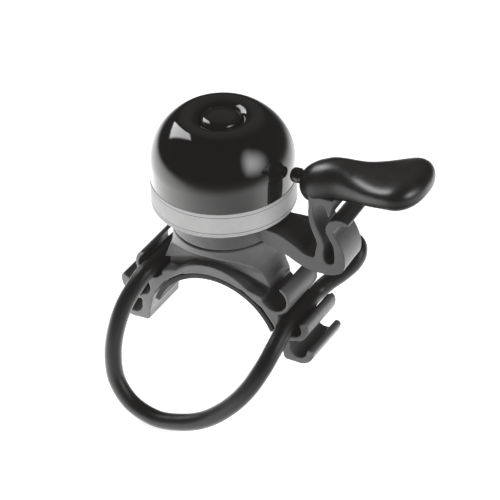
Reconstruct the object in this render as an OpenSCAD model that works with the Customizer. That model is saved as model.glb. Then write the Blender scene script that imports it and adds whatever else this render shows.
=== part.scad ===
// Small handlebar bell: a dome on a swivelling striker base, carried by a
// saddle bracket that a rubber ring straps to the bar.
// Units are millimetres, +Z is up along the bell's axis, and the origin is on the
// handlebar's axis under the middle of the saddle. The handlebar runs along Y.
// The front is -Y and the striker's arm reaches out to +X.

/* [Dome] */
// Outside diameter of the dome, over the foil band
dome_d = 33; // [32:0.5:34]
// Height of the dome above its open rim
dome_h = 22.2; // [22:0.1:22.6]
// Height of the straight skirt below the rounded shoulder
skirt_h = 10.7; // [10:0.1:11.5]
// Thickness of the dome's wall
dome_wall = 1.2; // [1:0.1:1.4]
// Height of the foil band round the skirt
band_h = 6.4; // [5:0.2:8]
// Radius of the roll round the crown's dished middle
roll_r = 4.1; // [4:0.1:4.3]
// Diameter of the bolt's mushroom head
head_d = 9; // [8.6:0.1:9.2]

/* [Striker] */
// Turn of the striker about the bell's axis, in degrees, from the saddle's X axis
head_turn = 3; // [0:1:8]
// Diameter of the striker base's disc
base_d = 24; // [23:0.5:24.5]
// Depth of the moulded arm and blade along the arm's own Y
arm_depth = 9; // [8:0.5:10]
// Diameter of the striker pin's head
pin_d = 3.5; // [3:0.1:3.8]
// Half-width added to the paddle end of the thumb grip
paddle_spread = 5.5; // [5:0.1:5.8]

/* [Saddle] */
// Handlebar diameter that the padded saddle fits
bar_d = 31.8; // [31.8:0.1:32]
// Depth of the saddle along the handlebar
saddle_depth = 13.4; // [12.5:0.1:14]
// Thickness of the rubber pad
pad_t = 1.25; // [1.15:0.05:1.3]
// Half-angle of the pad round the bar, in degrees
pad_half_angle = 68; // [60:1:70]
// Lean of the saddle about the handlebar, in degrees
saddle_lean = 1.7; // [0:0.1:2.5]

/* [Rubber ring] */
// Cord diameter of the rubber ring
ring_cord = 4; // [3.6:0.1:4]

/* [Fasteners] */
// Diameter of the centre bolt's shank
bolt_d = 3.9; // [3.8:0.05:4]
// Width of the lock nut across its flats
nut_af = 7; // [6.9:0.05:7]

/* [Hidden] */
$fn = 72;

// Heights, here and in the modules, are measured from the dome's open rim
bar_z = -35;            // handlebar's axis
bolt_end = -17.6;
pocket_top = -12.6;     // roof of the nut's pocket
pedestal_top = -6.65;
base_bottom = -6.3;     // striker base
base_top = -2.4;
floor_z = 20.2;         // floor of the dish in the crown
floor_t = 1.2;
pillar_foot = -8.2;
pillar_top = floor_z - floor_t - 1.0;

bore_r = 2.1;           // bore of the parts threaded on the bolt
pillar_r = 3.5;
moving_gap = 0.06;      // radial gap of the striker's bore and the blade's seat

// ---- helpers ----

function unit(v) = v / norm(v);
function reversed(list) = [for (i = [len(list) - 1:-1:0]) list[i]];
function polar(centre, r, angle) = [centre[0] + r * cos(angle), centre[1] + r * sin(angle)];
function arc(centre, r, from, to, steps) =
    [for (i = [0:steps]) polar(centre, r, from + (to - from) * i / steps)];

// Catmull-Rom point a fraction t of the way from b to c
function spline(a, b, c, d, t) = 0.5 * ((2 * b) + (c - a) * t
    + (2 * a - 5 * b + 4 * c - d) * t * t + (3 * b - a - 3 * c + d) * t * t * t);

function open_curve(stations, steps) = let (last = len(stations) - 1) concat(
    [for (i = [0:last - 1], k = [0:steps - 1])
        spline(stations[max(i - 1, 0)], stations[i], stations[i + 1],
            stations[min(i + 2, last)], k / steps)],
    [stations[last]]);

function closed_curve(stations, steps) = let (count = len(stations))
    [for (i = [0:count - 1], k = [0:steps - 1])
        spline(stations[(i + count - 1) % count], stations[i],
            stations[(i + 1) % count], stations[(i + 2) % count], k / steps)];

// Outline of a ribbon: stations are [x, z, half thickness]
function ribbon(stations, steps) = let (
    line = open_curve(stations, steps),
    last = len(line) - 1,
    headings = [for (i = [0:last])
        let (step = line[min(i + 1, last)] - line[max(i - 1, 0)]) unit([step[0], step[1]])])
    concat(ribbon_side(line, headings, 1), reversed(ribbon_side(line, headings, -1)));

function ribbon_side(line, headings, side) = [for (i = [0:len(line) - 1])
    let (shift = side * line[i][2])
    [line[i][0] - headings[i][1] * shift, line[i][1] + headings[i][0] * shift]];

// Raises a piece so that the origin falls on the handlebar's axis
module placed() { translate([0, 0, -bar_z]) children(); }

// Extrudes an X-Z outline along Y, centred
module along_y(depth) {
    rotate([90, 0, 0]) linear_extrude(height = depth, center = true) children();
}

module turned() { rotate([0, 0, head_turn]) children(); }

module leaned() {
    translate([0, 0, bar_z]) rotate([0, -saddle_lean, 0]) translate([0, 0, -bar_z]) children();
}

module flat_ring(inner_r, outer_r, bottom, top) {
    difference() {
        translate([0, 0, bottom]) cylinder(r = outer_r, h = top - bottom);
        translate([0, 0, bottom - 1]) cylinder(r = inner_r, h = top - bottom + 2);
    }
}

// ---- dome stack ----

foil_t = 0.1;
skin_r = dome_d / 2 - foil_t;      // painted skirt, under the foil
dome_hole_r = 2.2;
gasket_t = 0.3;

// Centre of the roll's section, under the crown's highest ring
roll_centre = [8, dome_h - roll_r];
// Angle and point where the shoulder's ellipse hands over to the roll
join_angle = 55;
join = polar(roll_centre, roll_r, join_angle);
// Ellipse upright at the skirt and tangent to the roll at the join
shoulder_w = skin_r - join[0];
shoulder_h = join[1] - skirt_h;
tangent_drop = shoulder_w / tan(join_angle);    // fall of the join's tangent out to the skirt
shoulder_cos = tangent_drop / (shoulder_h - tangent_drop);
shoulder_end = acos(shoulder_cos);              // ellipse's parameter at the join
shoulder_rx = shoulder_w / (1 - shoulder_cos);
shoulder_rz = shoulder_h / sin(shoulder_end);

// Dome's profile, inset from its outer face: up the shoulder, then over the roll
// and into the dish, down to height end_z
function dome_curve(inset, end_z) = let (
    r = roll_r - inset,
    end_angle = 180 - asin((end_z - roll_centre[1]) / r))
    concat(
        [for (i = [0:24]) let (
            t = shoulder_end * i / 24,
            normal = unit([cos(t) / shoulder_rx, sin(t) / shoulder_rz]))
            [skin_r - shoulder_rx + shoulder_rx * cos(t) - inset * normal[0],
             skirt_h + shoulder_rz * sin(t) - inset * normal[1]]],
        [for (i = [1:20])
            polar(roll_centre, r, join_angle + (end_angle - join_angle) * i / 20)]);

module bell_dome() {
    bevel = 0.25;
    inner_r = skin_r - dome_wall;
    outer = concat([[skin_r, bevel]], dome_curve(0, floor_z + 0.15),
        [[4.35, floor_z], [dome_hole_r, floor_z]]);
    inner = concat([[dome_hole_r, floor_z - floor_t]],
        reversed(dome_curve(dome_wall, floor_z - floor_t)),
        [[inner_r, 0.2], [inner_r + bevel, 0], [skin_r - bevel, 0]]);
    color("#101010") rotate_extrude($fn = 120) polygon(concat(outer, inner));
}

// Thin foil sleeve wrapped round the skirt
module rim_band() {
    bottom = 0.35;
    color("#b9bbbd") difference() {
        translate([0, 0, bottom]) cylinder(r = dome_d / 2, h = band_h - bottom, $fn = 120);
        translate([0, 0, -1]) cylinder(r = skin_r, h = band_h + 2, $fn = 120);
    }
}

// Bolt with a smooth mushroom head; its shank runs down to the nut
module centre_bolt() {
    head_r = head_d / 2;
    head_z = floor_z + gasket_t;
    edge_z = head_z + 0.35;         // top of the head's upright edge
    rise = 1.5;
    bevel = 0.15;
    head = concat(
        [[0, head_z], [head_r - bevel, head_z], [head_r, head_z + bevel], [head_r, edge_z]],
        [for (i = [1:12]) let (t = 90 * i / 12) [head_r * cos(t), edge_z + rise * sin(t)]]);
    color("#141414") union() {
        rotate_extrude($fn = 72) polygon(head);
        translate([0, 0, bolt_end]) cylinder(d = bolt_d, h = head_z + 0.2 - bolt_end);
    }
}

module head_gasket() { color("#202020") flat_ring(bore_r, 4.2, floor_z, floor_z + gasket_t); }

// Rubber washer between the pillar and the dome's floor
module dome_damper() { color("#262626") flat_ring(bore_r, 5.1, pillar_top, floor_z - floor_t); }

// Flanged spacer tube that carries the dome and retains the striker base
module dome_pillar() {
    flange_r = 6.5;
    top_r = 4.6;
    color("#c4c6c8") rotate_extrude() polygon([
        [bore_r, pillar_foot], [pillar_r, pillar_foot], [pillar_r, -1.9],
        [flange_r, -1.9], [flange_r, -0.9], [flange_r - 0.2, -0.7], [pillar_r + 0.4, -0.7],
        [pillar_r, -0.3], [pillar_r, pillar_top - 1.2],
        [top_r, pillar_top - 0.6], [top_r, pillar_top], [bore_r, pillar_top]]);
}

// Conical spring between the pillar's flange and the base: it gives the swivel its friction
module disc_spring() {
    color("#9a9c9e") rotate_extrude() polygon([
        [3.65, -2.14], [3.75, -2.14], [6.1, -2.38], [6.2, -2.38],
        [6.2, -2.16], [6.1, -2.16], [3.8, -1.92], [3.65, -1.92]]);
}

module swivel_washer() {
    gap = 0.02;
    color("#1a1a1a") flat_ring(3.6, base_d / 2 - 0.45, pedestal_top + gap, base_bottom - gap);
}

// ---- striker ----

pivot = [25.65, -5.2];      // flexure line of the blade, in the arm's X and Z
pivot_r = 1.0;
tang_depth = 5.6;
pin_tip_x = 17.1;
pin_z = 10.9;
pin_stem_r = 0.98;

// Arm and curled stop wall: [x, z, half thickness]
ARM = [
    [7.5, -4.3, 1.8], [11.7, -4.35, 1.82], [13.4, -4.75, 2.1], [15.3, -5.15, 2.15],
    [18.4, -6.5, 1.95], [21.2, -8.1, 1.8], [23.8, -8.75, 1.95], [26.2, -9.0, 1.75],
    [28.1, -9.15, 1.5], [30.1, -8.15, 1.4], [30.6, -6.3, 1.3], [30.45, -4.4, 1.2],
    [30.1, -2.8, 1.0], [29.45, -1.3, 0.9], [28.6, 0.2, 0.86], [28.25, 1.4, 0.98],
    [28.9, 2.8, 1.15], [30.0, 3.75, 0.9], [31.2, 4.08, 0.72], [32.5, 4.02, 0.5]];

// Block that holds the blade's root: [x, z]
ROOT_BLOCK = [
    [23.3, -7.6], [23.6, -6.75], [24.1, -6.4], [24.45, -5.75], [26.75, -5.75],
    [26.7, -6.6], [27.1, -7.35], [27.8, -7.8], [26, -9]];

// Blade from its root up: [x, z, half thickness]
BLADE = [
    [pivot[0], pivot[1], 0.98], [25.95, -3.4, 0.87], [25.7, -1.8, 0.85],
    [25.1, -0.3, 0.82], [24.4, 1.4, 0.76], [23.95, 3.1, 0.68],
    [23.74, 4.7, 0.65], [23.8, 6.3, 0.62], [24.0, 7.6, 0.78]];

// Head block with the tooth under its outer end: [x, z]
HEAD_BLOCK = [
    [23.2, 7.1], [23.15, 8.8], [29.15, 8.8], [28.9, 7.9], [27.85, 5.35], [27.5, 5.35],
    [26.7, 7.3], [26.1, 7.95], [25.4, 8.05], [24.85, 7.7], [24.6, 7.1]];

// Tang on the head block, and its looser pocket in the grip: [x, z]
TANG = [[23.6, 8.7], [23.6, 12.2], [24.1, 12.7], [28.1, 12.7], [28.6, 12.2], [28.6, 8.7]];
TANG_POCKET = [
    [23.58, 8], [23.58, 12.21], [24.1, 12.73], [28.1, 12.73], [28.62, 12.21], [28.62, 8]];

// Thumb grip: [x, z, radius, half-spread along Y]
GRIP = [
    [24.2, 10.4, 4.7, 0.3], [28, 12.3, 4.75, 0.3], [33.5, 13.3, 4.1, 1.1],
    [38.5, 14.4, 3.4, paddle_spread - 1.8], [43, 15.4, 3.2, paddle_spread],
    [46.4, 15.9, 3.0, paddle_spread - 0.9], [47.6, 16.0, 2.7, paddle_spread - 2.1]];

// Disc, arm and curled stop wall in one moulding
module striker_base() {
    base_r = base_d / 2;
    bottom_bevel = 0.25;
    top_bevel = 0.4;
    tip = ARM[len(ARM) - 1];
    color("#2b2c2e") turned() difference() {
        union() {
            rotate_extrude($fn = 96) polygon([
                [0, base_bottom], [base_r - bottom_bevel, base_bottom],
                [base_r, base_bottom + bottom_bevel], [base_r, base_top - top_bevel],
                [base_r - top_bevel, base_top], [0, base_top]]);
            along_y(arm_depth) union() {
                polygon(ribbon(ARM, 5));
                translate([tip[0], tip[1]]) circle(r = tip[2], $fn = 24);
                polygon(ROOT_BLOCK);
            }
        }
        // running bore round the pillar
        translate([0, 0, -12]) cylinder(r = pillar_r + moving_gap, h = 20);
        // seat of the blade's root
        along_y(arm_depth + 2) translate(pivot) circle(r = pivot_r + moving_gap, $fn = 48);
        // moulding relief in the top of the disc, clear of the hub and the arm
        difference() {
            translate([0, 0, base_top - 2.2]) cylinder(r = base_r - 1.6, h = 5);
            translate([0, 0, base_top - 3]) cylinder(r = 7.4, h = 7);
            translate([5, -arm_depth / 2, base_top - 3]) cube([15, arm_depth, 7]);
        }
    }
}

// Flexing blade with its head block, tooth and tang; one moulding with the base on the real bell
module lever_blade() {
    color("#2b2c2e") turned() union() {
        along_y(arm_depth) union() {
            polygon(ribbon(BLADE, 5));
            translate(pivot) circle(r = pivot_r, $fn = 48);
            polygon(HEAD_BLOCK);
        }
        along_y(tang_depth) polygon(TANG);
    }
}

// Soft thumb grip: a rounded knob over the blade and a paddle beyond it
module thumb_grip() {
    color("#161616") turned() difference() {
        union() for (i = [0:len(GRIP) - 2]) hull() for (j = [i, i + 1], side = [-1, 1])
            translate([GRIP[j][0], side * GRIP[j][3], GRIP[j][1]])
                sphere(r = GRIP[j][2], $fn = 32);
        // flat seat on the head block
        translate([22.3, -10, 0]) cube([7.4, 20, 8.82]);
        along_y(tang_depth + 0.02) polygon(TANG_POCKET);
        // hole of the pin's stem
        translate([15, 0, pin_z]) rotate([0, 90, 0]) cylinder(r = pin_stem_r + 0.02, h = 7.6);
    }
}

// Hard pin that hits the skirt: a round-nosed head on a thinner stem
module striker_pin() {
    r = pin_d / 2;
    centre = [pin_tip_x + r, 0, pin_z];
    color("#0d0d0d") turned() union() {
        translate(centre) sphere(r = r, $fn = 48);
        translate(centre) rotate([0, 90, 0]) cylinder(r = r, h = 0.85);
        translate(centre) rotate([0, 90, 0]) cylinder(r = pin_stem_r, h = 3.6);
    }
}

// ---- saddle ----

pad_r = bar_d / 2;
saddle_r = pad_r + pad_t;          // bare saddle under the pad
pedestal_r = 12;
bolt_hole_r = 2.15;
nut_clearance = 0.12;              // across the flats

// Centres of the three ring grooves on the +X side, before the lean: [x, z]
upper_groove = [16.3, -19.6];
middle_groove = [20.4, -25.7];
lower_groove = [21.9, -31.7];

// Groove cuts: [centre, radius]; the third widens the middle groove inward
GROOVE_CUTS = [
    [upper_groove, 3.15], [middle_groove, 2.95], [[19.25, -26.1], 2.2], [lower_groove, 2.25]];

// Side wall from the end of its top arc, down the outside and back up the inside: [x, z]
SIDE_WALL = [
    [11.9, -19.55], [13.25, -20.0], [13.3, -21.4], [15.2, -23.6], [17.3, -23.7], [17.0, -25],
    [17.4, -27.4], [18.7, -29.0], [19.6, -30.0], [19.6, -33.0], [20.2, -35.2], [20.9, -35.55],
    [18.5, -35.5], [17.95, -35.0], [17.7, -33.2], [16.5, -28.9], [15.5, -26.5], [13, -23],
    [8, -19.5], [-1.2, -17.6]];

// Curved lip round a groove, with a round tip set by its distance and angle from the centre
module hook(centre, outer_r, inner_r, start, outer_end, inner_end,
        tip_reach, tip_angle, tip_r, steps) {
    polygon(concat(
        arc(centre, outer_r, start, outer_end, steps),
        arc(centre, inner_r, inner_end, start, steps)));
    translate(polar(centre, tip_reach, tip_angle)) circle(r = tip_r, $fn = 20);
}

// One side's solid outline before the grooves are cut
module side_outline() {
    polygon(concat(arc([0, -29.1], 13.9, 95, 47, 16), SIDE_WALL));
    hook(upper_groove, outer_r = 4.05, inner_r = 3.1, start = -150, outer_end = 57,
        inner_end = 57, tip_reach = 3.6, tip_angle = 57, tip_r = 0.46, steps = 26);
    hook(middle_groove, outer_r = 4.25, inner_r = 2.9, start = -205, outer_end = 14,
        inner_end = 18, tip_reach = 3.6, tip_angle = 18, tip_r = 0.72, steps = 30);
    hook(lower_groove, outer_r = 3.95, inner_r = 2.1, start = -200, outer_end = -10,
        inner_end = -2, tip_reach = 3.1, tip_angle = -8, tip_r = 0.9, steps = 26);
}

module side_profile() {
    difference() {
        side_outline();
        translate([0, bar_z]) circle(r = saddle_r, $fn = 120);
        for (cut = GROOVE_CUTS) translate(cut[0]) circle(r = cut[1], $fn = 60);
        // opening of the middle groove
        polygon([[17.25, -24.9], [17.2, -27], [20, -29], [24, -25], [22.6, -21.2], [19.6, -22.6]]);
    }
}

// Pedestal: a flare cut by a curved front and back, standing on a narrower neck
module pedestal() {
    r = pedestal_r;
    bevel = 0.25;
    // back face, from the top down: [y, z]
    back = [for (i = [0:12]) let (t = i / 12) [4.75 + 7.45 * pow(1 - t, 2.2), -8.3 - 7.4 * t]];
    intersection() {
        rotate_extrude($fn = 96) polygon([
            [0, -21], [0, pedestal_top], [r - bevel, pedestal_top], [r, pedestal_top - bevel],
            [r, -8], [r + 0.12, -10], [r + 0.5, -12], [r + 1.2, -14], [r + 2.1, -16.3],
            [r + 3.2, -19], [r + 3.7, -21]]);
        rotate([90, 0, 90]) linear_extrude(height = 40, center = true) polygon(concat(
            [for (point = back) [-point[0], point[1]]], [[-4.6, -21], [4.6, -21]],
            reversed(back), [[12.2, -6], [-12.2, -6]]));
        // arched underside
        along_y(40) polygon([
            [-13.7, -5], [13.7, -5], [13.9, -17.75], [10.8, -16.9], [8.4, -16.1], [5.8, -15.6],
            [0, -15.45], [-5.8, -15.6], [-8.4, -16.1], [-10.8, -16.9], [-13.9, -17.75]]);
    }
    // neck
    intersection() {
        along_y(7.6) polygon([
            [-13.2, -15.4], [13.2, -15.4], [13.0, -20.4], [8, -18.9],
            [0, -16.2], [-8, -18.9], [-13.0, -20.4]]);
        rotate_extrude($fn = 96) polygon([[0, -22], [0, -14], [13.3, -14], [14.5, -22]]);
    }
}

module saddle_bracket() {
    color("#2d2e30") difference() {
        union() {
            leaned() along_y(saddle_depth) union() {
                side_profile();
                mirror([1, 0]) side_profile();
            }
            pedestal();
        }
        // seat of the pillar, bolt hole, and hex pocket of the nut
        translate([0, 0, pillar_foot]) cylinder(r = pillar_r, h = 5);
        translate([0, 0, -30]) cylinder(r = bolt_hole_r, h = 30);
        translate([0, 0, -30])
            cylinder(r = (nut_af + nut_clearance) / 2 / cos(30), h = 30 + pocket_top, $fn = 6);
    }
}

// Rubber lining of the saddle
module saddle_pad() {
    from = 90 - pad_half_angle;
    to = 90 + pad_half_angle;
    color("#6a6c6d") leaned() along_y(saddle_depth) difference() {
        polygon(concat(
            arc([0, bar_z], saddle_r, from, to, 60),
            arc([0, bar_z], pad_r, to, from, 60)));
        translate([0, bar_z]) circle(r = pad_r, $fn = 120);
    }
}

// ---- rubber ring ----

left_x = -16.8;             // strand in the upper groove on the -X side
left_z = -20.3;
right_x = 19.0;             // strand in the middle groove on the +X side
right_z = -25.2;
strand_y = saddle_depth / 2;

// Ring's centre line: [x, y, z]
RING = [
    // long loop hanging in front
    [left_x, -strand_y, left_z], [-17.6, -10.5, -22], [-19.4, -14.5, -26.8],
    [-20.3, -17.5, -32.5], [-20.3, -19.5, -38.5], [-18.8, -20.8, -44.5],
    [-14.5, -21.6, -49.2], [-8, -22, -51], [-1.5, -22, -49.8], [4.5, -21.5, -47.3],
    [10, -20.6, -43], [14.6, -19, -37.6], [17.6, -16.2, -32], [18.9, -12, -27.6],
    // right strand
    [right_x, -strand_y, right_z], [right_x, 0, right_z], [right_x, strand_y, right_z],
    // shorter loop behind
    [20.5, 10.3, -23.7], [22.7, 13, -22], [24.5, 15.2, -20], [24.9, 17.2, -18.2],
    [23, 19.4, -17.2], [17.5, 20.3, -16.7], [9, 19.6, -16.5], [0, 18.5, -16.6],
    [-8, 16.8, -17.4], [-13.6, 13.6, -19.1], [-16.4, 10, -20.1],
    // left strand
    [left_x, strand_y, left_z], [left_x, 0, left_z]];

module rubber_ring() {
    sides = 14;
    line = closed_curve(RING, 3);
    count = len(line);
    tangents = [for (i = [0:count - 1])
        unit(line[(i + 1) % count] - line[(i + count - 1) % count])];
    // leans forward so that no tangent is parallel to it
    reference = unit([0.12, -0.62, 0.78]);
    across = [for (tangent = tangents) unit(cross(tangent, reference))];
    upward = [for (i = [0:count - 1]) cross(tangents[i], across[i])];
    points = [for (i = [0:count - 1], k = [0:sides - 1]) let (angle = 360 * k / sides)
        line[i] + ring_cord / 2 * (cos(angle) * across[i] + sin(angle) * upward[i])];
    // two triangles for each patch between neighbouring sections
    faces = [for (i = [0:count - 1], k = [0:sides - 1], half = [0, 1]) let (
        here = i * sides,
        ahead = (i + 1) % count * sides,
        next = (k + 1) % sides)
        half == 0 ? [here + k, here + next, ahead + next] : [here + k, ahead + next, ahead + k]];
    color("#1b1b1c") polyhedron(points = points, faces = faces, convexity = 6);
}

// ---- nut stack in the saddle's pocket ----

lock_washer_top = pocket_top - 0.6;
nut_top = pocket_top - 1.5;

module nut_washer() { color("#b8babc") flat_ring(bore_r, 3.4, lock_washer_top, pocket_top); }

// Ring with a slanted split on its +X side
module lock_washer() {
    color("#8e9092") difference() {
        flat_ring(bore_r, 3.35, nut_top, lock_washer_top);
        translate([2.7, 0, (nut_top + lock_washer_top) / 2]) rotate([35, 0, 0])
            cube([2.6, 0.35, 3], center = true);
    }
}

// Hex nut with its corners bevelled at both ends
module lock_nut() {
    height = 3.1;
    bottom = nut_top - height;
    corner_r = nut_af / 2 / cos(30);
    face_r = nut_af / 2 - 0.05;
    bevel_r = corner_r + 0.05;
    bevel_h = 0.45;
    color("#a6a8aa") difference() {
        intersection() {
            translate([0, 0, bottom]) cylinder(r = corner_r, h = height, $fn = 6);
            rotate_extrude() polygon([
                [0, bottom], [face_r, bottom], [bevel_r, bottom + bevel_h],
                [bevel_r, nut_top - bevel_h], [face_r, nut_top], [0, nut_top]]);
        }
        translate([0, 0, bottom - 1]) cylinder(r = bolt_d / 2, h = height + 2);
    }
}

placed() bell_dome();
placed() rim_band();
placed() centre_bolt();
placed() head_gasket();
placed() dome_damper();
placed() dome_pillar();
placed() disc_spring();
placed() striker_base();
placed() lever_blade();
placed() thumb_grip();
placed() striker_pin();
placed() swivel_washer();
placed() saddle_bracket();
placed() saddle_pad();
placed() rubber_ring();
placed() nut_washer();
placed() lock_washer();
placed() lock_nut();
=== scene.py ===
"""Looks of a bicycle handlebar bell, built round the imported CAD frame.

Z is the bell's axis, the striker and its thumb grip reach out along +X, and the front is -Y.
Shapes are drawn in millimetres with heights from the dome's open rim, as in the CAD source.
done() moves them to metres in the frame, whose origin is on the bar's axis.
"""
import math
from functools import cached_property

import bmesh
import bpy
import numpy as np
from mathutils import Matrix, Vector


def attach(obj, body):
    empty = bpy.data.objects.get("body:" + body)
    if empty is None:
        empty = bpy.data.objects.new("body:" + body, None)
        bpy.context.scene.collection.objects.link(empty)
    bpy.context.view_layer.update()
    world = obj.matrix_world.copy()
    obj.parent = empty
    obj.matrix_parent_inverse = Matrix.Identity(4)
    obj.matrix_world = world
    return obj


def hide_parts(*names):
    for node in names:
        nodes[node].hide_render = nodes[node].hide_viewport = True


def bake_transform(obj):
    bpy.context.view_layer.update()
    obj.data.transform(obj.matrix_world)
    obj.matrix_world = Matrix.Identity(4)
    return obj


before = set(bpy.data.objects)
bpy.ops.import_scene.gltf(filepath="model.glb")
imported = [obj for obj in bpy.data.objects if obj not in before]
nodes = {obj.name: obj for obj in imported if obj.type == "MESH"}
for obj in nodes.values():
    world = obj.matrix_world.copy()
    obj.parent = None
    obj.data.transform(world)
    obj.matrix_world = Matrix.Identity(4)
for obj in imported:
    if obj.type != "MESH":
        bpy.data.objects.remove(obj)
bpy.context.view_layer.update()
scene = bpy.context.scene
RIM = 35.0                       # height of the dome's rim over the bar's axis
HEAD_TURN = math.radians(3.0)    # turn of the striker from the saddle's X axis
MM = 0.001
HALF_PI = math.pi / 2


# ---------------------------------------------------------------- mesh helpers

def link(name, mesh):
    ob = bpy.data.objects.new(name, mesh)
    scene.collection.objects.link(ob)
    return ob


def remove(ob):
    mesh = ob.data
    bpy.data.objects.remove(ob)
    bpy.data.meshes.remove(mesh)


def from_lists(name, verts, faces):
    mesh = bpy.data.meshes.new(name)
    mesh.from_pydata([tuple(map(float, v)) for v in verts], [], faces)
    mesh.update()
    bm = bmesh.new()
    bm.from_mesh(mesh)
    bmesh.ops.recalc_face_normals(bm, faces=bm.faces)
    bm.to_mesh(mesh)
    bm.free()
    return link(name, mesh)


def bake(ob):
    """Applies the object's modifiers."""
    bpy.context.view_layer.update()
    depsgraph = bpy.context.evaluated_depsgraph_get()
    mesh = bpy.data.meshes.new_from_object(ob.evaluated_get(depsgraph), depsgraph=depsgraph)
    old = ob.data
    ob.modifiers.clear()
    ob.data = mesh
    if old.users == 0:
        bpy.data.meshes.remove(old)


def remesh(ob, voxel, smoothing):
    """Fuses overlapping solids into one skin, then softens its corners."""
    voxels = ob.modifiers.new("voxels", "REMESH")
    voxels.mode = "VOXEL"
    voxels.voxel_size = voxel
    bake(ob)
    soften = ob.modifiers.new("soften", "SMOOTH")
    soften.factor = 0.5
    soften.iterations = smoothing
    bake(ob)
    return ob


def join(name, obs):
    bm = bmesh.new()
    for ob in obs:
        bm.from_mesh(ob.data)
    mesh = bpy.data.meshes.new(name)
    bm.to_mesh(mesh)
    bm.free()
    for ob in obs:
        remove(ob)
    return link(name, mesh)


def turn_head(ob):
    ob.data.transform(Matrix.Rotation(HEAD_TURN, 4, "Z"))
    return ob


def done(ob, sharp_angle=None):
    """Millimetres over the rim to metres in the frame, and smooth shading."""
    ob.data.transform(Matrix.Scale(MM, 4) @ Matrix.Translation((0, 0, RIM)))
    ob.data.shade_smooth()
    if sharp_angle:
        ob.data.set_sharp_from_angle(angle=math.radians(sharp_angle))
    ob.data.update()
    return ob


def from_node(name, node):
    """A copy of a CAD node's mesh, in millimetres over the rim."""
    mesh = nodes[node].data.copy()
    mesh.materials.clear()
    ob = link(name, mesh)
    mesh.transform(Matrix.Translation((0, 0, -RIM)) @ Matrix.Scale(1000, 4))
    bm = bmesh.new()
    bm.from_mesh(mesh)
    bmesh.ops.remove_doubles(bm, verts=bm.verts, dist=0.0005)
    bmesh.ops.recalc_face_normals(bm, faces=bm.faces)
    bm.to_mesh(mesh)
    bm.free()
    return ob


# ---------------------------------------------------------------- curves and solids

def catmull(points, steps, closed):
    """Catmull-Rom curve through the points, with the given steps for each span."""
    points = np.asarray(points, float)
    count = len(points)
    out = []
    for i in range(count if closed else count - 1):
        if closed:
            q = [points[(i + k) % count] for k in (-1, 0, 1, 2)]
        else:
            q = [points[min(max(i + k, 0), count - 1)] for k in (-1, 0, 1, 2)]
        for k in range(steps):
            t = k / steps
            out.append(0.5 * (2 * q[1] + (q[2] - q[0]) * t
                              + (2 * q[0] - 5 * q[1] + 4 * q[2] - q[3]) * t * t
                              + (3 * q[1] - q[0] - 3 * q[2] + q[3]) * t ** 3))
    if not closed:
        out.append(points[-1])
    return np.array(out)


def ribbon(stations, steps):
    """Outline of a ribbon whose stations are x, z, half thickness, with a rounded end."""
    curve = catmull(stations, steps, closed=False)
    along = np.gradient(curve[:, :2], axis=0)
    along /= np.linalg.norm(along, axis=1)[:, None]
    x, z, half = curve[:, 0], curve[:, 1], curve[:, 2]
    left = np.stack([x - along[:, 1] * half, z + along[:, 0] * half], 1)
    right = np.stack([x + along[:, 1] * half, z - along[:, 0] * half], 1)
    start = math.atan2(along[-1][1], along[-1][0]) + math.pi / 2
    tip = [(x[-1] + half[-1] * math.cos(start - math.pi * k / 8),
            z[-1] + half[-1] * math.sin(start - math.pi * k / 8)) for k in range(1, 8)]
    return [tuple(p) for p in left] + tip + [tuple(p) for p in right[::-1]]


def arc(centre, radius, start, stop, count):
    """Points of an arc between two angles in radians."""
    return [(centre[0] + radius * math.cos(t), centre[1] + radius * math.sin(t))
            for t in np.linspace(start, stop, count)]


def round_corner(before, corner, after, radius, steps):
    """Points of the arc that rounds a polygon's corner."""
    before, corner, after = (np.array(p, float) for p in (before, corner, after))
    u = (before - corner) / np.linalg.norm(before - corner)
    v = (after - corner) / np.linalg.norm(after - corner)
    angle = math.acos(max(-1, min(1, u @ v)))
    setback = radius / math.tan(angle / 2)
    centre = corner + (u + v) / np.linalg.norm(u + v) * (radius / math.sin(angle / 2))
    p, q = corner + u * setback - centre, corner + v * setback - centre
    start = math.atan2(p[1], p[0])
    sweep = (math.atan2(q[1], q[0]) - start + math.pi) % (2 * math.pi) - math.pi
    return arc(centre, radius, start, start + sweep, steps + 1)


def lathe(name, outline, segments):
    """Turns a closed (r, z) outline round Z. Points on the axis become poles."""
    verts, rows = [], []
    for r, z in outline:
        if r < 1e-6:
            rows.append([len(verts)] * segments)
            verts.append((0, 0, z))
        else:
            rows.append(list(range(len(verts), len(verts) + segments)))
            verts += [(r * math.cos(2 * math.pi * k / segments),
                       r * math.sin(2 * math.pi * k / segments), z) for k in range(segments)]
    faces = []
    count = len(outline)
    for i in range(count):
        row, after = rows[i], rows[(i + 1) % count]
        pole, next_pole = outline[i][0] < 1e-6, outline[(i + 1) % count][0] < 1e-6
        if pole and next_pole:
            continue
        for k in range(segments):
            j = (k + 1) % segments
            if pole:
                faces.append([row[k], after[j], after[k]])
            elif next_pole:
                faces.append([row[k], row[j], after[k]])
            else:
                faces.append([row[k], row[j], after[j], after[k]])
    return from_lists(name, verts, faces)


def along_y(name, outline, depth):
    """Extrudes an (x, z) outline along Y, centred on y = 0."""
    n = len(outline)
    verts = [(x, y, z) for y in (-depth / 2, depth / 2) for x, z in outline]
    faces = [list(range(n)), list(range(2 * n - 1, n - 1, -1))]
    faces += [[i, (i + 1) % n, n + (i + 1) % n, n + i] for i in range(n)]
    return from_lists(name, verts, faces)


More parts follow.
